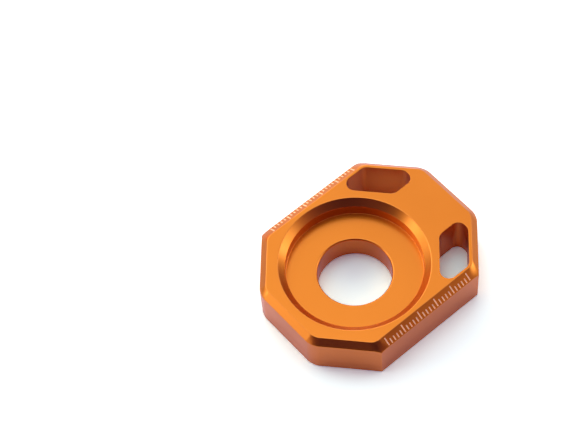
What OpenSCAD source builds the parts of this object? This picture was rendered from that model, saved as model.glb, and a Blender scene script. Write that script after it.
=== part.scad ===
// Chain adjuster block: a milled aluminium plate that the rear axle passes through.
// It slides in the end slot of the swingarm, and its two scales show how far the chain is drawn.
// The origin is on the axle's centre line at the flat back face. +X runs along the scales
// to the end with the two windows, and +Z points out of the recess for the axle nut.

/* [Block] */
// Thickness, from the back face to the top face
block_t = 11; // [8:0.5:16]
// Width across the two long sides, which slide in the slot
block_w = 42; // [41.5:0.5:50]
// From the axle's centre line to the plain end
plain_reach = 21.3; // [20.5:0.1:28]
// From the axle's centre line to the end with the windows
window_reach = 30.4; // [30:0.1:40]

/* [Corner cuts] */
// How much of a long side each corner cut takes
cut_along = 10.8; // [10:0.1:11.4]
// How much of an end each corner cut takes
cut_across = 12; // [11:0.1:12.6]

/* [Top chamfer] */
// Depth of the chamfer round the top face
chamfer_h = 1.5; // [0.6:0.1:2]
// Width of the chamfer on the long sides, seen from above, which carries the scale
scale_chamfer_w = 2.2; // [1.2:0.1:2.6]
// Width of the chamfer on the ends and the corner cuts, seen from above
edge_chamfer_w = 1.5; // [0.6:0.1:1.9]
// Radius of the corners of the top face
top_corner_r = 3; // [1.5:0.1:4]

/* [Axle bore] */
// Diameter of the bore for the axle
bore_d = 17.5; // [12:0.1:26]
// Width of the broken edge where the bore opens into the recess
bore_edge = 0.35; // [0.1:0.05:0.6]

/* [Nut recess] */
// Diameter of the recess that the axle nut and its washer sit in
recess_d = 32.2; // [29:0.1:33]
// Depth of the recess, from the top face to its floor
recess_depth = 4.3; // [2.5:0.1:6]
// Width of the chamfer round the recess, seen from above
recess_chamfer_w = 1.7; // [0.5:0.1:2]
// Depth of the chamfer round the recess
recess_chamfer_h = 1.5; // [0.5:0.1:2.4]

/* [Windows] */
// Wall between a window and the corner cut beside it
window_wall = 2.2; // [1.8:0.1:4]
// Wall between a window and the rim of the recess
window_recess_wall = 1.85; // [1.2:0.05:3.5]
// Wall between a window and the long side beside it
window_side_wall = 2.8; // [2.7:0.1:5]
// Wall between a window and the end beside it
window_end_wall = 4.7; // [3:0.1:6]
// Length of the short side by which a window faces the recess, at its end by the scale
window_scale_flat = 2.8; // [2.4:0.1:4]
// Length of the short side by which a window faces the block's end
window_end_flat = 3.2; // [2.4:0.1:4]
// Radius of the windows' corners
window_corner_r = 2; // [0.8:0.1:2.1]

/* [Scales] */
// Distance from one mark to the next
mark_pitch = 1; // [0.8:0.05:1.05]
// Number of divisions on each scale
divisions = 25; // [10:1:25]
// Every how many divisions a mark is long
long_mark_every = 5; // [2:1:10]
// Place of the first mark, measured back from the axle's centre line
scale_start = 8; // [6:0.1:8.5]
// Width of a mark
mark_w = 0.3; // [0.2:0.05:0.5]
// Depth of a mark, square to the chamfer
mark_depth = 0.12; // [0.05:0.01:0.3]
// Length of a short mark, up the chamfer
short_mark_l = 1.2; // [0.6:0.1:1.6]
// Length of a long mark, up the chamfer
long_mark_l = 2; // [1.2:0.1:2.2]
// Gap between the marks and the lower edge of the chamfer
mark_foot = 0.22; // [0.1:0.02:0.4]

/* [Hidden] */
$fn = 96;
anodised_orange = [0.94, 0.52, 0.16];

// Clearance by which a cutting shape stands past the surface that it cuts
past = 1;
// Number of flat steps that round each corner between a scale chamfer and a cut
blend_steps = 8;

half_w = block_w / 2;
plain_cut_x = cut_along - plain_reach;
window_cut_x = window_reach - cut_along;
end_half_w = half_w - cut_across;
recess_r = recess_d / 2;
floor_z = block_t - recess_depth;
wall_corner_r = top_corner_r + edge_chamfer_w;
// Radius of a blend where it reaches the lower edge of the chamfer
blend_low_r = top_corner_r + (scale_chamfer_w + edge_chamfer_w) / 2;
scale_slope = atan2(chamfer_h, scale_chamfer_w);

// Outline of the walls, anticlockwise from the near long side
outline = [
    [plain_cut_x, -half_w],
    [window_cut_x, -half_w],
    [window_reach, -end_half_w],
    [window_reach, end_half_w],
    [window_cut_x, half_w],
    [plain_cut_x, half_w],
    [-plain_reach, end_half_w],
    [-plain_reach, -end_half_w]
];
corners = len(outline);
// Width of the chamfer on the side that starts at each corner
chamfer_w = [
    scale_chamfer_w, edge_chamfer_w, edge_chamfer_w, edge_chamfer_w,
    scale_chamfer_w, edge_chamfer_w, edge_chamfer_w, edge_chamfer_w
];
// Radius of the wall at each corner: the long sides end in sharp edges
wall_r = [0, 0, wall_corner_r, wall_corner_r, 0, 0, wall_corner_r, wall_corner_r];

// Unit normal that points out of the edge from a to b, with the solid on its left
function outward(a, b) = [b.y - a.y, a.x - b.x] / norm(b - a);

// Corner i of a list of points, counted round and round
function at(points, i) = points[(i + len(points)) % len(points)];

// Normals of the two edges that meet at corner i
function normal_in(points, i) = outward(at(points, i - 1), at(points, i));
function normal_out(points, i) = outward(at(points, i), at(points, i + 1));

// Point that lies in_a inside the edge before corner i and in_b inside the edge after it
function inset_corner(points, i, in_a, in_b) =
    let (na = normal_in(points, i), nb = normal_out(points, i), turn = na * nb)
    at(points, i)
        - (na * (in_a - in_b * turn) + nb * (in_b - in_a * turn)) / (1 - turn * turn);

// Compass angle of a direction in the XY plane
function heading(direction) = atan2(direction.y, direction.x);

// Angle turned from one direction to another, anticlockwise
function turn_between(a, b) = heading([a * b, a.x * b.y - a.y * b.x]);

// Unit vector at a compass angle
function toward(angle) = [cos(angle), sin(angle)];

// Convex polygon with corner i rounded to radii[i]
module rounded_polygon(points, radii) {
    count = len(points);
    polygon([
        for (i = [0 : count - 1])
            each radii[i] > 0
                ? [
                    inset_corner(points, i, radii[i], radii[i]) + radii[i] * normal_in(points, i),
                    inset_corner(points, i, radii[i], radii[i]) + radii[i] * normal_out(points, i)
                ]
                : [points[i]]
    ]);
    for (i = [0 : count - 1])
        if (radii[i] > 0)
            translate(inset_corner(points, i, radii[i], radii[i]))
                circle(radii[i]);
}

// Space outside a sloping plane: it faces the compass angle, meets the top face at
// top_reach from the axle and has come down to the chamfer's lower edge at low_reach
module slope_cut(angle, top_reach, low_reach) {
    slope_l = norm([low_reach - top_reach, chamfer_h]);
    rotate([0, 0, angle])
        translate([top_reach, -block_w, block_t])
            rotate([0, atan2(chamfer_h, low_reach - top_reach), 0])
                translate([-2 * past, 0, 0])
                    cube([slope_l + 4 * past, 2 * block_w, 3 * past]);
}

// Chamfer along the side from corner i to the next
module side_chamfer(i) {
    normal = normal_out(outline, i);
    wall_reach = normal * outline[i];
    slope_cut(heading(normal), wall_reach - chamfer_w[i], wall_reach);
}

// Chamfer round a corner whose wall is rounded: a cone about the wall's own centre line
module conical_corner(i) {
    spread = edge_chamfer_w / chamfer_h;
    translate(inset_corner(outline, i, wall_corner_r, wall_corner_r))
        rotate([0, 0, heading(normal_in(outline, i))])
            rotate_extrude(angle = turn_between(normal_in(outline, i), normal_out(outline, i)))
                polygon([
                    [top_corner_r - past * spread, block_t + past],
                    [wall_corner_r + past * spread, block_t - chamfer_h - past],
                    [wall_corner_r + 3 * past, block_t - chamfer_h - past],
                    [wall_corner_r + 3 * past, block_t + past]
                ]);
}

// Chamfer round a corner with a sharp wall: flat steps that turn from one side's slope
// to the other's, so that the top face's corner is round and the wall's edge ends in a point
module stepped_corner(i) {
    before = (i + corners - 1) % corners;
    first = heading(normal_in(outline, i));
    turn = turn_between(normal_in(outline, i), normal_out(outline, i));
    top_centre = inset_corner(
        outline, i, top_corner_r + chamfer_w[before], top_corner_r + chamfer_w[i]
    );
    low_centre = inset_corner(outline, i, blend_low_r, blend_low_r);
    for (k = [1 : blend_steps - 1]) {
        angle = first + turn * k / blend_steps;
        slope_cut(
            angle,
            toward(angle) * top_centre + top_corner_r,
            toward(angle) * low_centre + blend_low_r
        );
    }
}

// Plate with its corner cuts, its chamfered top and its round and sharp vertical edges
module plate() {
    difference() {
        linear_extrude(block_t)
            rounded_polygon(outline, wall_r);
        for (i = [0 : corners - 1]) {
            side_chamfer(i);
            if (wall_r[i] > 0) conical_corner(i);
            else stepped_corner(i);
        }
    }
}

// Recess for the axle nut, with the chamfer round its mouth
module nut_recess() {
    spread = recess_chamfer_w / recess_chamfer_h;
    translate([0, 0, floor_z])
        cylinder(r = recess_r, h = recess_depth + past);
    translate([0, 0, block_t - recess_chamfer_h])
        cylinder(
            r1 = recess_r,
            r2 = recess_r + recess_chamfer_w + past * spread,
            h = recess_chamfer_h + past
        );
}

// Bore for the axle, with a broken edge at the recess floor
module axle_bore() {
    bore_r = bore_d / 2;
    translate([0, 0, -past])
        cylinder(r = bore_r, h = block_t);
    translate([0, 0, floor_z - bore_edge])
        cylinder(r1 = bore_r, r2 = bore_r + bore_edge + past, h = bore_edge + past);
}

// Window on the far side: six sides, the long ones parallel to the corner cut
module window() {
    cut_normal = normal_out(outline, 3);
    outer_reach = cut_normal * outline[3] - window_wall;
    inner_reach = recess_r + recess_chamfer_w + window_recess_wall;
    // Where a line parallel to the cut crosses a given x or y
    function y_on(reach, x) = (reach - cut_normal.x * x) / cut_normal.y;
    function x_on(reach, y) = (reach - cut_normal.y * y) / cut_normal.x;
    x_far = window_reach - window_end_wall;
    y_high = half_w - window_side_wall;
    x_near = x_on(inner_reach, y_high - window_scale_flat);
    y_low = y_on(outer_reach, x_far) - window_end_flat;
    shape = [
        [x_on(inner_reach, y_low), y_low],
        [x_far, y_low],
        [x_far, y_on(outer_reach, x_far)],
        [x_on(outer_reach, y_high), y_high],
        [x_near, y_high],
        [x_near, y_on(inner_reach, x_near)]
    ];
    translate([0, 0, -past])
        linear_extrude(block_t + 2 * past)
            rounded_polygon(shape, [for (p = shape) window_corner_r]);
}

// Marks of the near scale, engraved square to the chamfer from its foot upward
module scale_marks() {
    translate([0, -half_w, block_t - chamfer_h])
        rotate([0, 0, -90])
            rotate([0, scale_slope, 0])
                for (i = [0 : divisions]) {
                    mark_l = i % long_mark_every == 0 ? long_mark_l : short_mark_l;
                    translate([-mark_foot - mark_l, i * mark_pitch - scale_start - mark_w / 2, -mark_depth])
                        cube([mark_l, mark_w, mark_depth + past]);
                }
}

module adjuster_block() {
    color(anodised_orange)
        difference() {
            plate();
            nut_recess();
            axle_bore();
            for (side = [0, 1])
                mirror([0, side, 0]) {
                    window();
                    scale_marks();
                }
        }
}

adjuster_block();
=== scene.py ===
# %% [markdown]
# # A chain adjuster block in anodised aluminium
#
# The object is one milled block. The rear axle of a motorcycle passes through its bore, the
# axle nut sits in the round recess, and two scales show how far the chain has been drawn.
# The solid was made before in CAD. This lesson rebuilds its shape with Blender's own tools,
# so that its edges can be broken and its surfaces can carry a real finish.

# %% Load the solid part
import math

import bmesh
import bpy
from mathutils import Matrix, Vector


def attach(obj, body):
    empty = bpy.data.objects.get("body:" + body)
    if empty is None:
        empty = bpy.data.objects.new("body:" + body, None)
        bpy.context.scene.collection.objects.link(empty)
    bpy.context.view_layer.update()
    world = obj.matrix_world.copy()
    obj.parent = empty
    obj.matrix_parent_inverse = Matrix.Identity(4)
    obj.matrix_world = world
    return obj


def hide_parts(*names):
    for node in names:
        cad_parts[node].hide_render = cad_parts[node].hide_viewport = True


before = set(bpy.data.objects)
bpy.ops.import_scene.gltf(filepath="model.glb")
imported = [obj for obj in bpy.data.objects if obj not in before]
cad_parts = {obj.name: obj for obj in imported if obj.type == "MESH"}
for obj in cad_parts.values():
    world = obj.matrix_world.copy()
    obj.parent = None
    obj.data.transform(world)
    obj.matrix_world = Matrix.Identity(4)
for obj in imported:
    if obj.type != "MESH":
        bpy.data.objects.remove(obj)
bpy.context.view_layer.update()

# %% [markdown]
# ## Sizes
#
# A machinist thinks in millimetres, so every shape is worked in millimetres and brought to
# metres at the end. The origin is on the axle's centre line at the block's flat back. +X
# runs along the scales, and +Z points up out of the recess. Points that lie closer together
# than a tenth of a micrometre are merged.

# %% Sizes of the block
MM = 0.001
thick = 11.0
half_width = 21.0
plain_reach = 21.3
window_reach = 30.4
cut_along = 10.8
cut_across = 12.0
chamfer_high = 1.5
scale_chamfer = 2.2
edge_chamfer = 1.5
top_corner_radius = 3.0
merge_within = 0.0001

# %% [markdown]
# ## The eight sides
#
# Seen from above, the block is a plate with its four corners cut off. Each side is a straight
# line, and a line is fully told by the direction it faces and how far it lies from the axle.
# Two such numbers a side are easier to keep true than eight hand-written corners, because a
# milling cutter also works side by side.

# %% Directions and distances of the sides
def facing(x, y):
    """Unit vector in the plate's plane."""
    return Vector((x, y, 0)).normalized()


cut_faces = {
    "window": facing(cut_across, cut_along),
    "plain": facing(-cut_across, cut_along),
}
cut_reach = {
    "window": cut_faces["window"].dot(Vector((window_reach - cut_along, half_width, 0))),
    "plain": cut_faces["plain"].dot(Vector((cut_along - plain_reach, half_width, 0))),
}


def to_near(direction):
    """The same direction on the near half of the plate."""
    return Vector((direction.x, -direction.y, 0))


# Each side in turn, anticlockwise: direction, distance from the axle, width of its chamfer
sides = [
    (facing(0, -1), half_width, scale_chamfer),
    (to_near(cut_faces["window"]), cut_reach["window"], edge_chamfer),
    (facing(1, 0), window_reach, edge_chamfer),
    (cut_faces["window"], cut_reach["window"], edge_chamfer),
    (facing(0, 1), half_width, scale_chamfer),
    (cut_faces["plain"], cut_reach["plain"], edge_chamfer),
    (facing(-1, 0), plain_reach, edge_chamfer),
    (to_near(cut_faces["plain"]), cut_reach["plain"], edge_chamfer),
]
print("corner cuts lie", [round(r, 2) for r in cut_reach.values()], "mm from the axle")

# %% [markdown]
# ## A cutter that takes away everything beyond a plane
#
# The whole outside of the block is flat cuts, so one small helper does the work of the mill:
# it slices the mesh with a plane, throws the outer part away and closes the cut with a face.
# A plane can't leave a warped face behind, which is why this is safer here than pushing
# vertices about by hand.


# %% The milling helper
def whole(block):
    """All points, edges and faces of a bmesh."""
    return block.verts[:] + block.edges[:] + block.faces[:]


def mill_off(block, point, direction):
    """Take away what lies beyond the plane through point that faces direction."""
    made = bmesh.ops.bisect_plane(
        block, geom=whole(block), dist=merge_within / 10, plane_co=point, plane_no=direction,
        clear_outer=True,
    )
    rim = [g for g in made["geom_cut"] if isinstance(g, bmesh.types.BMEdge) and g.is_boundary]
    if rim:
        bmesh.ops.contextual_create(block, geom=rim)


# %% [markdown]
# ## Rounding an upright edge
#
# Where two walls meet, the cutter leaves its own radius. Bevel wants to know how far the
# rounding reaches along each wall. That is the radius times the tangent of half the angle
# that the wall turns by.


# %% The rounding helper
def round_upright(block, near_to, radius, steps):
    """Round the upright edge that stands nearest to a point of the plate's plane."""
    uprights = [
        e for e in block.edges
        if len(e.link_faces) == 2
        and abs(e.verts[0].co.z - e.verts[1].co.z) > 0.99 * e.calc_length()
    ]
    edge = min(uprights, key=lambda e: (e.verts[0].co.xy - near_to.xy).length)
    block.normal_update()
    turn = edge.calc_face_angle()
    bmesh.ops.bevel(
        block, geom=[edge], offset=radius * math.tan(turn / 2), offset_type="OFFSET",
        segments=steps, profile=0.5, affect="EDGES", material=-1,
    )


def crossing(facing_a, reach_a, facing_b, reach_b):
    """Point where two straight sides meet."""
    det = facing_a.x * facing_b.y - facing_a.y * facing_b.x
    x = (reach_a * facing_b.y - reach_b * facing_a.y) / det
    y = (reach_b * facing_a.x - reach_a * facing_b.x) / det
    return Vector((x, y, 0))


# %% [markdown]
# ## A fixed order
#
# Bevels and cuts may list a shape's points and faces in another order on each run. The next
# cut then starts elsewhere and rounds its numbers another way. So between such steps the
# points and faces are sorted by where they lie, and every run gives the same block.


# %% The sorting helpers
def in_fixed_order(mesh):
    """Replace a mesh by one with its points and faces in an order that every run repeats."""
    order = sorted(range(len(mesh.vertices)), key=lambda i: mesh.vertices[i].co.to_tuple(5))
    number = {old: new for new, old in enumerate(order)}
    rings = []
    for face in mesh.polygons:
        ring = [number[i] for i in face.vertices]
        first = ring.index(min(ring))
        rings.append((ring[first:] + ring[:first], face.material_index))
    rings.sort()
    made = bpy.data.meshes.new(mesh.name)
    made.from_pydata([mesh.vertices[i].co for i in order], [], [ring for ring, _ in rings])
    for material in mesh.materials:
        made.materials.append(material)
    made.polygons.foreach_set("material_index", [index for _, index in rings])
    bpy.data.meshes.remove(mesh)
    return made


def settle(shape):
    """Put the points and faces of a bmesh in an order that every run repeats."""
    mesh = bpy.data.meshes.new("settled")
    shape.to_mesh(mesh)
    shape.clear()
    shape.from_mesh(in_fixed_order(mesh))


# %% [markdown]
# ## The blank
#
# The real block is sawn from flat bar. Here it starts as a cube that is stretched to the bar's
# size. The four cuts make it eight-sided, and the four corners at its two ends are rounded.
# The long sides stay sharp at their ends, as on the real block.

# %% Saw and mill the blank
plate = bmesh.new()
bmesh.ops.create_cube(plate, size=1.0)
bmesh.ops.translate(plate, verts=plate.verts, vec=(0, 0, 0.5))
bmesh.ops.scale(
    plate, verts=plate.verts, vec=(plain_reach + window_reach, 2 * half_width, thick)
)
bmesh.ops.translate(plate, verts=plate.verts, vec=((window_reach - plain_reach) / 2, 0, 0))
for facing_out, reach, _ in sides[1::2]:
    mill_off(plate, facing_out * reach, facing_out)

end_corner_radius = top_corner_radius + edge_chamfer
end_corner_steps = 20
for first in (1, 2, 5, 6):
    corner = crossing(*sides[first][:2], *sides[first + 1][:2])
    round_upright(plate, corner, end_corner_radius, end_corner_steps)
    settle(plate)
print("blank:", len(plate.faces), "faces,", round(plate.calc_volume() / 1000, 2), "cm3")

# %% [markdown]
# ## The chamfer round the top
#
# A sloping cut runs round the top face. It is wider on the two long sides, where it carries
# the scales. Above each wall face one sloping plane is milled. The rounded corners are many
# narrow wall faces, so their planes add up to a smooth cone.


# %% Mill the sloping faces
def mill_chamfer(block, facing_out, top_reach, low_reach):
    """Mill the slope that meets the top at top_reach and ends at low_reach."""
    slope = Vector(
        (chamfer_high * facing_out.x, chamfer_high * facing_out.y, low_reach - top_reach)
    )
    mill_off(block, facing_out * low_reach + Vector((0, 0, thick - chamfer_high)), slope)


walls = [(f.normal.copy(), f.calc_center_median()) for f in plate.faces if abs(f.normal.z) < 0.1]
for facing_out, middle in walls:
    reach = facing_out.dot(middle)
    wide = scale_chamfer if abs(facing_out.y) > 0.999 else edge_chamfer
    mill_chamfer(plate, facing_out, reach - wide, reach)
print("chamfered:", len(plate.faces), "faces")

# %% [markdown]
# Where a long side ends, the wall has a sharp edge but the top face has a round corner. The
# slope between them turns from one direction to the other, like a sheet that fans out from a
# point. A row of planes makes it: each touches a small circle at the top and a larger one at
# the foot of the slope.

# %% Mill the turning slopes at the ends of the long sides
fan_steps = 24
foot_radius = top_corner_radius + (scale_chamfer + edge_chamfer) / 2


def circle_centre(side_a, side_b, inset_a, inset_b):
    """Centre of a circle that keeps those distances from two sides."""
    return crossing(side_a[0], side_a[1] - inset_a, side_b[0], side_b[1] - inset_b)


for first in (0, 3, 4, 7):
    side_a, side_b = sides[first], sides[(first + 1) % 8]
    top_circle = circle_centre(
        side_a, side_b, top_corner_radius + side_a[2], top_corner_radius + side_b[2]
    )
    foot_circle = circle_centre(side_a, side_b, foot_radius, foot_radius)
    for step in range(1, fan_steps):
        facing_out = side_a[0].slerp(side_b[0], step / fan_steps)
        mill_chamfer(
            plate,
            facing_out,
            facing_out.dot(top_circle) + top_corner_radius,
            facing_out.dot(foot_circle) + foot_radius,
        )
bmesh.ops.remove_doubles(plate, verts=plate.verts, dist=merge_within)
bmesh.ops.recalc_face_normals(plate, faces=plate.faces)
print("plate:", len(plate.faces), "faces,", round(plate.calc_volume() / 1000, 2), "cm3")

# %% [markdown]
# ## The tool for the recess and the bore
#
# The recess, its chamfer and the bore are all round about the axle, so half of their profile
# is drawn once and spun a full turn. The closed shape is then the tool that is taken away
# from the plate. It reaches past both faces, and it breaks both edges of the bore. Spinning
# can turn a shape inside out, so its normals are made true after its doubles are merged.

# %% Spin the recess tool
recess_radius = 16.1
recess_chamfer = 1.7
recess_chamfer_high = 1.5
recess_deep = 4.3
bore_radius = 8.75
bore_edge = 0.3
floor_high = thick - recess_deep
past = 1.0
spin_steps = 180

# Distance from the axis and height of each point, from the back up
profile = [
    (0, -past),
    (bore_radius + bore_edge + past, -past),
    (bore_radius, bore_edge),
    (bore_radius, floor_high - bore_edge),
    (bore_radius + bore_edge, floor_high),
    (recess_radius, floor_high),
    (recess_radius, thick - recess_chamfer_high),
    (recess_radius + recess_chamfer * (1 + past / recess_chamfer_high), thick + past),
    (0, thick + past),
]
recess_tool = bmesh.new()
points = [recess_tool.verts.new((r, 0, z)) for r, z in profile]
lines = [recess_tool.edges.new(pair) for pair in zip(points, points[1:])]
bmesh.ops.spin(
    recess_tool, geom=points + lines, cent=(0, 0, 0), axis=(0, 0, 1), dvec=(0, 0, 0),
    angle=2 * math.pi, steps=spin_steps, use_merge=True, use_duplicate=False,
)
bmesh.ops.remove_doubles(recess_tool, verts=recess_tool.verts, dist=merge_within)
bmesh.ops.recalc_face_normals(recess_tool, faces=recess_tool.faces)
print("recess tool:", len(recess_tool.faces), "faces")

# %% [markdown]
# ## The tools for the two windows
#
# Each window is a slanted slot with six sides. Its long sides run parallel to the corner cut,
# one a wall's thickness in from the cut and one just outside the recess. The same milling
# helper shapes the tool from a tall block, and its upright edges get the cutter's radius.
# Mirror then makes the second tool on the near side.

# %% Mill and mirror the window tools
window_wall = 2.2
window_recess_wall = 1.85
window_side_wall = 2.8
window_end_wall = 4.7
window_scale_flat = 2.8
window_end_flat = 3.2
window_corner_radius = 2.0
window_corner_steps = 10
tool_blank = 60.0

slant = cut_faces["window"]
outer_reach = cut_reach["window"] - window_wall
inner_reach = recess_radius + recess_chamfer + window_recess_wall
side_high = half_width - window_side_wall
end_far = window_reach - window_end_wall
flat_near = crossing(slant, inner_reach, facing(0, 1), side_high - window_scale_flat).x
flat_low = crossing(slant, outer_reach, facing(1, 0), end_far).y - window_end_flat
window_sides = [
    (slant, outer_reach),
    (facing(0, 1), side_high),
    (facing(-1, 0), -flat_near),
    (-slant, -inner_reach),
    (facing(0, -1), -flat_low),
    (facing(1, 0), end_far),
]

window_tools = bmesh.new()
bmesh.ops.create_cube(window_tools, size=1.0)
bmesh.ops.scale(
    window_tools, verts=window_tools.verts, vec=(tool_blank, tool_blank, thick + 2 * past)
)
bmesh.ops.translate(
    window_tools, verts=window_tools.verts, vec=(tool_blank / 3, tool_blank / 3, thick / 2)
)
for facing_out, reach in window_sides:
    mill_off(window_tools, facing_out * reach, facing_out)
for side, next_side in zip(window_sides, window_sides[1:] + window_sides[:1]):
    corner = crossing(*side, *next_side)
    round_upright(window_tools, corner, window_corner_radius, window_corner_steps)
bmesh.ops.mirror(
    window_tools, geom=whole(window_tools), matrix=Matrix.Identity(4), merge_dist=0, axis="Y"
)
bmesh.ops.recalc_face_normals(window_tools, faces=window_tools.faces)
print("window tools:", len(window_tools.faces), "faces")

# %% [markdown]
# ## Cutting the holes
#
# The Boolean modifier subtracts one closed mesh from another. The result is read back from
# Blender's evaluated copy, and the tool is thrown away. Everything becomes plain mesh, so the
# next step can work on its edges.


# %% The cutting helper
def as_object(name, shape):
    """Put a bmesh into a new object of that name."""
    mesh = bpy.data.meshes.new(name)
    shape.to_mesh(mesh)
    shape.free()
    made = bpy.data.objects.new(name, in_fixed_order(mesh))
    bpy.context.scene.collection.objects.link(made)
    return made


def finished_mesh(piece):
    """The piece's mesh as its modifiers leave it."""
    seen = piece.evaluated_get(bpy.context.evaluated_depsgraph_get())
    return bpy.data.meshes.new_from_object(seen)


def cut_away(piece, tool):
    """Subtract the tool from the piece, and remove the tool."""
    cut = piece.modifiers.new("cut", "BOOLEAN")
    cut.operation = "DIFFERENCE"
    cut.solver = "EXACT"
    cut.object = tool
    result = in_fixed_order(finished_mesh(piece))
    piece.modifiers.clear()
    piece.data = result
    bpy.data.objects.remove(tool)


# %% Cut the recess, the bore and the windows
block = as_object("adjuster", plate)
cut_away(block, as_object("recess_tool", recess_tool))
cut_away(block, as_object("window_tools", window_tools))
print("cut block:", len(block.data.polygons), "faces")

# %% [markdown]
# ## The engraved scales
#
# Each scale is a row of shallow marks on the long chamfer, one a millimetre, and every fifth
# one is long. One small cube is placed for each mark in the slope's own directions: across
# the mark, up the slope and square to it. The tool wears the pale finish, and so does what
# it cuts.

# %% Cut the scale marks
divisions = 25
long_every = 5
mark_pitch = 1.0
first_mark = -8.0
mark_wide = 0.3
mark_deep = 0.12
short_mark = 1.2
long_mark = 2.0
mark_foot = 0.22

up_slope = Vector((0, scale_chamfer, chamfer_high)).normalized()
off_slope = Vector((0, -chamfer_high, scale_chamfer)).normalized()
foot_line = Vector((0, -half_width, thick - chamfer_high))

turned = Matrix((Vector((1, 0, 0)), up_slope, off_slope)).transposed().to_4x4()

mark_tools = bmesh.new()
for i in range(divisions + 1):
    mark_long = short_mark if i % long_every else long_mark
    middle = (
        foot_line
        + Vector((first_mark + i * mark_pitch, 0, 0))
        + up_slope * (mark_foot + mark_long / 2)
        + off_slope * (past - mark_deep) / 2
    )
    sized = Matrix.Diagonal((mark_wide, mark_long, past + mark_deep, 1))
    bmesh.ops.create_cube(mark_tools, size=1.0, matrix=Matrix.Translation(middle) @ turned @ sized)
bmesh.ops.mirror(
    mark_tools, geom=whole(mark_tools), matrix=Matrix.Identity(4), merge_dist=0, axis="Y"
)
bmesh.ops.recalc_face_normals(mark_tools, faces=mark_tools.faces)
for face in mark_tools.faces:
    face.material_index = 1
mark_tool = as_object("mark_tools", mark_tools)

anodised = bpy.data.materials.new("orange_dye")
engraved = bpy.data.materials.new("engraved_mark")
for piece in (block, mark_tool):
    piece.data.materials.append(anodised)
    piece.data.materials.append(engraved)
cut_away(block, mark_tool)
print("block with its scales:", len(block.data.polygons), "faces")

# %% [markdown]
# ## Broken edges
#
# A milled edge is never left knife sharp: it is broken by a tenth or two of a millimetre
# before the block is anodised. That sliver is what catches the light and draws a bright line
# round every opening. Every edge that turns by more than 20 degrees is found by its face
# angle and bevelled, apart from those of the marks, which stay crisp. Each new face gets a
# number that the finish reads later, and a low rank in the shading, so that the flat faces
# beside it stay flat.

# %% Break the edges
edge_break = 0.13
keen_angle = math.radians(20)
shape = bmesh.new()
shape.from_mesh(block.data)
worn_and_glint_layer = shape.faces.layers.float.new("broken_edge")
bmesh.ops.remove_doubles(shape, verts=shape.verts, dist=merge_within)
bmesh.ops.dissolve_degenerate(shape, edges=shape.edges, dist=merge_within)
shape.normal_update()
keen = [
    e for e in shape.edges
    if len(e.link_faces) == 2
    and e.calc_face_angle() > keen_angle
    and not any(f.material_index for f in e.link_faces)
]
made = bmesh.ops.bevel(
    shape, geom=keen, offset=edge_break, offset_type="OFFSET", segments=2, profile=0.5,
    affect="EDGES", material=-1, clamp_overlap=True, face_strength_mode="ALL",
)
# These bevel faces get a lighter orange in the finish: partly rubbed wear, partly a painted glint.
for face in made["faces"]:
    face[worn_and_glint_layer] = 1.0
shape.to_mesh(block.data)
print("broken edges:", len(keen), "edges,", len(shape.faces), "faces")
shape.free()

# %% [markdown]
# ## Smooth shading that keeps flat faces flat
#
# The cones and cylinders are made of narrow flats, so the whole block is shaded smooth, apart
# from turns of more than 50 degrees. The Weighted Normal modifier then lets the large faces
# decide the shading, so that they stay truly flat and only the broken edges look round.

# %% Bring the block to metres and shade it
sharp_angle = math.radians(50)
block.data.transform(Matrix.Scale(MM, 4))
block.data.polygons.foreach_set("use_smooth", [True] * len(block.data.polygons))
block.data.set_sharp_from_angle(angle=sharp_angle)
weigh = block.modifiers.new("weighted normals", "WEIGHTED_NORMAL")
weigh.mode = "FACE_AREA"
weigh.keep_sharp = True
weigh.use_face_influence = True
block.data = finished_mesh(block)
block.modifiers.clear()
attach(block, "root")
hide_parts("adjuster_block")
print("finished block:", sum(len(p.vertices) - 2 for p in block.data.polygons), "triangles")

# %% [markdown]
# ## Anodised aluminium
#
# Anodising grows a clear oxide on the metal and a dye soaks into it, so the light is coloured
# by the dye on its way to the metal and back. In the Principled shader that is a metal whose
# base colour is the dye. The oxide's own surface is a weak clear coat, which hardly shows
# from above and makes the walls paler at a grazing angle. The satin comes from fine blasting
# before the bath: a middling roughness and a bump of very small grain. Slow, weak noise
# varies the dye and the satin, because no bath dyes a block quite evenly. A broken edge is
# rubbed a little thinner, and its orange is made lighter: partly that real wear, partly a
# painted glint along the edge.


# %% A helper for node materials
def node(tree, kind, place, **settings):
    """Add a node, place it, and set its properties and its inputs by name or number."""
    made = tree.nodes.new(kind)
    made.location = place
    for key, value in settings.pop("inputs", {}).items():
        made.inputs[key].default_value = value
    for key, value in settings.items():
        setattr(made, key, value)
    return made


def plain_shader(material):
    """Clear the material and return its tree and its Principled shader."""
    material.use_nodes = True
    tree = material.node_tree
    tree.nodes.clear()
    output = node(tree, "ShaderNodeOutputMaterial", (600, 0))
    shader = node(tree, "ShaderNodeBsdfPrincipled", (300, 0))
    tree.links.new(shader.outputs["BSDF"], output.inputs["Surface"])
    return tree, shader


# %% The orange anodised finish
deep_orange = (0.85, 0.26, 0.021, 1)
bright_orange = (0.89, 0.287, 0.027, 1)
# The lighter orange of the broken edges is partly rubbed wear and partly a painted glint.
rubbed_and_glint_orange = (0.95, 0.47, 0.16, 1)
rubbed_and_glint_share = 0.08

tree, shader = plain_shader(anodised)
shader.inputs["Metallic"].default_value = 1.0
shader.inputs["Coat Weight"].default_value = 0.9
shader.inputs["Coat IOR"].default_value = 1.25
shader.inputs["Coat Roughness"].default_value = 0.15
place = node(tree, "ShaderNodeTexCoord", (-1100, 0))

dye = node(
    tree, "ShaderNodeTexNoise", (-800, 200),
    inputs={"Scale": 60.0, "Detail": 3.0, "Roughness": 0.5},
)
tone = node(tree, "ShaderNodeMix", (-300, 250), data_type="RGBA")
tone.inputs[6].default_value = deep_orange
tone.inputs[7].default_value = bright_orange
tree.links.new(place.outputs["Object"], dye.inputs["Vector"])
tree.links.new(dye.outputs["Fac"], tone.inputs["Factor"])

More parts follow.
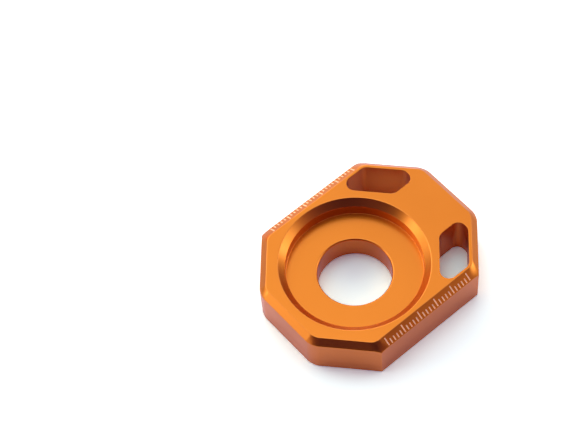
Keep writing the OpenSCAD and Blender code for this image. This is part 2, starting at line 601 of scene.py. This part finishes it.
edges = node(tree, "ShaderNodeAttribute", (-600, 480), attribute_name="broken_edge")
rubbed_and_glint_mix = node(tree, "ShaderNodeMix", (0, 300), data_type="RGBA")
rubbed_and_glint_mix.inputs[7].default_value = rubbed_and_glint_orange
share = node(tree, "ShaderNodeMath", (-300, 480), operation="MULTIPLY")
share.inputs[1].default_value = rubbed_and_glint_share
tree.links.new(edges.outputs["Fac"], share.inputs[0])
tree.links.new(share.outputs["Value"], rubbed_and_glint_mix.inputs["Factor"])
tree.links.new(tone.outputs[2], rubbed_and_glint_mix.inputs[6])
tree.links.new(rubbed_and_glint_mix.outputs[2], shader.inputs["Base Color"])

blast = node(
    tree, "ShaderNodeTexNoise", (-800, -150),
    inputs={"Scale": 9000.0, "Detail": 2.0, "Roughness": 0.6},
)
satin = node(
    tree, "ShaderNodeMapRange", (-300, -50),
    inputs={"From Min": 0.3, "From Max": 0.7, "To Min": 0.285, "To Max": 0.325},
)
grain = node(
    tree, "ShaderNodeBump", (0, -300), inputs={"Strength": 0.03, "Distance": 0.00002}
)
tree.links.new(place.outputs["Object"], blast.inputs["Vector"])
tree.links.new(dye.outputs["Fac"], satin.inputs["Value"])
tree.links.new(satin.outputs["Result"], shader.inputs["Roughness"])
tree.links.new(blast.outputs["Fac"], grain.inputs["Height"])
tree.links.new(grain.outputs["Normal"], shader.inputs["Normal"])
print("finish:", anodised.name, "with", len(tree.nodes), "nodes")

# %% [markdown]
# ## The marks' finish, with painted light
#
# Engraving goes through the dyed layer, so the marks are pale and dull. Their base colour
# also holds painted light: a breath of orange that stands for the light from the walls on
# both sides, and, because a mark is about one pixel wide in the picture, a brightness above
# any paint, which keeps it as clear as in the photograph.

# %% The engraved finish
# Both colours lie above one and lean to orange: painted light over the pale cut.
deep_cut_and_painted_light = (1.3, 0.84, 0.48, 1)
bright_cut_and_painted_light = (1.4, 1.0, 0.62, 1)

tree, shader = plain_shader(engraved)
shader.inputs["Metallic"].default_value = 0.0
shader.inputs["Roughness"].default_value = 0.55
place = node(tree, "ShaderNodeTexCoord", (-800, 0))
speck = node(tree, "ShaderNodeTexNoise", (-500, 0), inputs={"Scale": 4000.0, "Detail": 2.0})
bare_and_painted_light = node(tree, "ShaderNodeMix", (-100, 0), data_type="RGBA")
bare_and_painted_light.inputs[6].default_value = deep_cut_and_painted_light
bare_and_painted_light.inputs[7].default_value = bright_cut_and_painted_light
tree.links.new(place.outputs["Object"], speck.inputs["Vector"])
tree.links.new(speck.outputs["Fac"], bare_and_painted_light.inputs["Factor"])
tree.links.new(bare_and_painted_light.outputs[2], shader.inputs["Base Color"])
print("finish:", engraved.name, "with", len(tree.nodes), "nodes")

# %% [markdown]
# ## The table
#
# The block lies on plain white paper, lit by the same soft light, so the paper keeps the
# block's shadow. It sits a hair below the block's flat back.

# %% The white table
table_size = 3.0
table_gap = 0.02 * MM

table = bmesh.new()
bmesh.ops.create_grid(table, x_segments=1, y_segments=1, size=table_size)
bmesh.ops.translate(table, verts=table.verts, vec=(0, 0, -table_gap))
floor = as_object("table", table)

paper = bpy.data.materials.new("white_table")
tree, shader = plain_shader(paper)
shader.inputs["Roughness"].default_value = 0.9
shader.inputs["Specular IOR Level"].default_value = 0.0
shader.inputs["Emission Color"].default_value = (1, 1, 1, 1)
floor.data.materials.append(paper)
table_place = node(tree, "ShaderNodeTexCoord", (-1200, -300))
print("table:", 2 * table_size, "m wide")

# %% [markdown]
# The ground of the photograph was whitened after the shot: the block's walls mirror a paper
# that is darker than the one the camera sees. So the paper has one tone for the light that
# falls on it, one for what the block mirrors and a lighter one for the camera. The camera also
# sees a little light of the paper's own, which lifts the shadow. The block throws orange on
# the paper, most of all inside the holes, and the camera's cool tones take it out again.


# %% Helpers for the paper's tones
def blend(share, first, second, place):
    """Mix two colours by a share from 0 to 1. A colour is given or comes from a node."""
    made = node(tree, "ShaderNodeMix", place, data_type="RGBA")
    tree.links.new(share, made.inputs["Factor"])
    for socket, color in ((made.inputs[6], first), (made.inputs[7], second)):
        if isinstance(color, bpy.types.NodeSocket):
            tree.links.new(color, socket)
        else:
            socket.default_value = color
    return made.outputs[2]


def within(middle, full, none, place):
    """1 up to one distance from a point of the table, and falling to 0 at a longer one."""
    away = node(tree, "ShaderNodeVectorMath", place, operation="DISTANCE")
    away.inputs[1].default_value = middle
    share = node(
        tree, "ShaderNodeMapRange", (place[0] + 200, place[1]),
        inputs={"From Min": none, "From Max": full},
    )
    tree.links.new(table_place.outputs["Object"], away.inputs[0])
    tree.links.new(away.outputs["Value"], share.inputs["Value"])
    return share.outputs["Result"]


# %% Tell the tones apart
lit_tone = (0.82, 0.92, 0.95, 1)
mirrored_tone = (0.96, 0.91, 0.98, 1)
open_tone = (1.57, 1.93, 1.69, 1)
bore_tone = (1.3, 1.84, 1.68, 1)
window_tone = (1.23, 2.07, 2.08, 1)
shadow_lift = 0.06

path = node(tree, "ShaderNodeLightPath", (-900, 300))
near_axle = within((0, 0, 0), 9 * MM, 18 * MM, (-1000, -400))
under_block = within((8 * MM, 0, 0), 19.5 * MM, 21 * MM, (-1000, -200))
hole_tone = blend(near_axle, window_tone, bore_tone, (-500, -400))
camera_tone = blend(under_block, open_tone, hole_tone, (-250, -200))
other_tone = blend(path.outputs["Is Glossy Ray"], lit_tone, mirrored_tone, (-250, 300))
paper_tone = blend(path.outputs["Is Camera Ray"], other_tone, camera_tone, (0, 300))
tree.links.new(paper_tone, shader.inputs["Base Color"])

lift = node(tree, "ShaderNodeMath", (0, 0), operation="MULTIPLY")
lift.inputs[1].default_value = shadow_lift
tree.links.new(path.outputs["Is Camera Ray"], lift.inputs[0])
tree.links.new(lift.outputs["Value"], shader.inputs["Emission Strength"])
print("paper:", paper.name, "with", len(tree.nodes), "nodes")

# %% [markdown]
# ## The studio
#
# Satin metal shows what stands round it, so the studio is drawn as a soft sky in the world's
# nodes. Round soft lamps hang in it. Most stand behind the block, and the side where the
# camera is stays dark, which is what makes some chamfers brown and others bright. Directions
# are given as a compass angle from +X and an angle above the table.


# %% Helpers for the sky
def direction(compass, above):
    """Unit vector for a compass angle and an angle above the table, in degrees."""
    a, e = math.radians(compass), math.radians(above)
    return Vector((math.cos(a) * math.cos(e), math.sin(a) * math.cos(e), math.sin(e)))


world = bpy.data.worlds.new("studio")
bpy.context.scene.world = world
world.use_nodes = True
sky = world.node_tree
sky.nodes.clear()
look = node(sky, "ShaderNodeTexCoord", (-1400, 0))


def along(toward):
    """How far the ray looks along a direction, from -1 to 1."""
    place = (-1100, -200 * len(sky.nodes))
    dot = node(sky, "ShaderNodeVectorMath", place, operation="DOT_PRODUCT")
    dot.inputs[1].default_value = toward
    sky.links.new(look.outputs["Generated"], dot.inputs[0])
    return dot.outputs["Value"]


def combine(a, b, operation):
    """Join two values, or a value and a number, with one sum."""
    made = node(sky, "ShaderNodeMath", (-500, -200 * len(sky.nodes)), operation=operation)
    for i, part in enumerate((a, b)):
        if isinstance(part, (int, float)):
            made.inputs[i].default_value = part
        else:
            sky.links.new(part, made.inputs[i])
    return made.outputs["Value"]


def glow(compass, above, spread, strength):
    """A round soft lamp, which has fallen to half at spread degrees from its middle."""
    power = math.log(0.5) / math.log(math.cos(math.radians(spread)))
    ahead = combine(along(direction(compass, above)), 0.0, "MAXIMUM")
    return combine(combine(ahead, power, "POWER"), strength, "MULTIPLY")


# %% The lamps
overhead = [
    glow(50, 84, 13, 2.1),
    glow(114, 70, 14, 1.3),
    glow(54, 50, 13, 0.9),
]
behind = [
    glow(54, 12, 10, 5.2),
    glow(84, 30, 11, 3.5),
    glow(114, 30, 11, 4.1),
]
at_the_left = [
    glow(144, 14, 10, 2.1),
    glow(149, 28, 7, 2.5),
    glow(174, 12, 10, 0.9),
]
at_the_right = [
    glow(24, 30, 11, 2.0),
    glow(-6, 30, 11, 2.4),
    glow(-24, 19, 6, 2.9),
    glow(-36, 30, 11, 2.4),
]
beside_the_camera = [
    glow(-66, 30, 11, 0.25),
    glow(-96, 12, 10, 0.5),
    glow(-156, 30, 11, 0.1),
]
lamps = overhead + behind + at_the_left + at_the_right + beside_the_camera
print("sky of", len(lamps), "lamps")

# %% [markdown]
# The lamps are white. Between them the room is dim and reddish, with a breath of deep blue,
# and that keeps the darkest chamfers maroon. A warm card stands low behind the block, and the
# right part of the recess's rim mirrors it. The camera itself sees plain white.

# %% Join the sky
room_light = 0.03
white = (1, 1, 1, 1)
dim_red = (1, 0.45, 0.6, 1)
deep_blue = (0.1, 0, 1, 1)
blue_strength = 0.1
warm_orange = (1, 0.22, 0.02, 1)

lamplight = room_light
for lamp in lamps:
    lamplight = combine(lamplight, lamp, "ADD")
lamp_tint = node(sky, "ShaderNodeMix", (0, -200), data_type="RGBA")
lamp_tint.inputs[6].default_value = dim_red
lamp_tint.inputs[7].default_value = white
lamp_share = node(
    sky, "ShaderNodeMapRange", (-200, -200), interpolation_type="SMOOTHSTEP",
    inputs={"From Min": 0.2, "From Max": 1.0},
)
sky.links.new(lamplight, lamp_share.inputs["Value"])
sky.links.new(lamp_share.outputs["Result"], lamp_tint.inputs["Factor"])


def background(color, strength, place):
    """A plain sky of one colour."""
    made = node(sky, "ShaderNodeBackground", place)
    for socket, part in ((made.inputs["Color"], color), (made.inputs["Strength"], strength)):
        if isinstance(part, bpy.types.NodeSocket):
            sky.links.new(part, socket)
        else:
            socket.default_value = part
    return made.outputs["Background"]


def together(a, b, place):
    """Both skies at once."""
    made = node(sky, "ShaderNodeAddShader", place)
    sky.links.new(a, made.inputs[0])
    sky.links.new(b, made.inputs[1])
    return made.outputs["Shader"]


lit = background(lamp_tint.outputs[2], lamplight, (200, 0))
dusk = background(deep_blue, blue_strength, (200, -200))
warm_card = background(warm_orange, glow(89, 4, 8, 1.2), (200, -400))
room = together(together(lit, dusk, (400, 0)), warm_card, (550, 0))

path = node(sky, "ShaderNodeLightPath", (550, 300))
pick = node(sky, "ShaderNodeMixShader", (750, 0))
output = node(sky, "ShaderNodeOutputWorld", (950, 0))
sky.links.new(path.outputs["Is Camera Ray"], pick.inputs["Fac"])
sky.links.new(room, pick.inputs[1])
sky.links.new(background(white, 1.0, (550, -200)), pick.inputs[2])
sky.links.new(pick.outputs["Shader"], output.inputs["Surface"])
print("sky drawn with", len(sky.nodes), "nodes")

# %% [markdown]
# ## The camera
#
# A long lens from well above flattens the block almost to a drawing. The eye point, the point
# it aims at and a small roll place the block in the lower right of the picture, as in the
# photograph.

# %% Place the camera
eye = Vector((-136.52, -165.69, 376.32)) * MM
aim = Vector((-2.202, 22.212, 8.0)) * MM
roll = -5.841
lens = 115.587

camera = bpy.data.objects.new("camera", bpy.data.cameras.new("camera"))
bpy.context.scene.collection.objects.link(camera)
camera.data.lens = lens
camera.data.sensor_width = 36.0
camera.data.clip_start = 0.01
camera.data.clip_end = 20.0
upright = (aim - eye).to_track_quat("-Z", "Y")
camera.rotation_mode = "QUATERNION"
camera.rotation_quaternion = upright @ Matrix.Rotation(math.radians(roll), 3, "Z").to_quaternion()
camera.location = eye
bpy.context.scene.camera = camera
bpy.context.scene.view_settings.view_transform = "Standard"
print("camera:", round((aim - eye).length / MM), "mm from its aim")
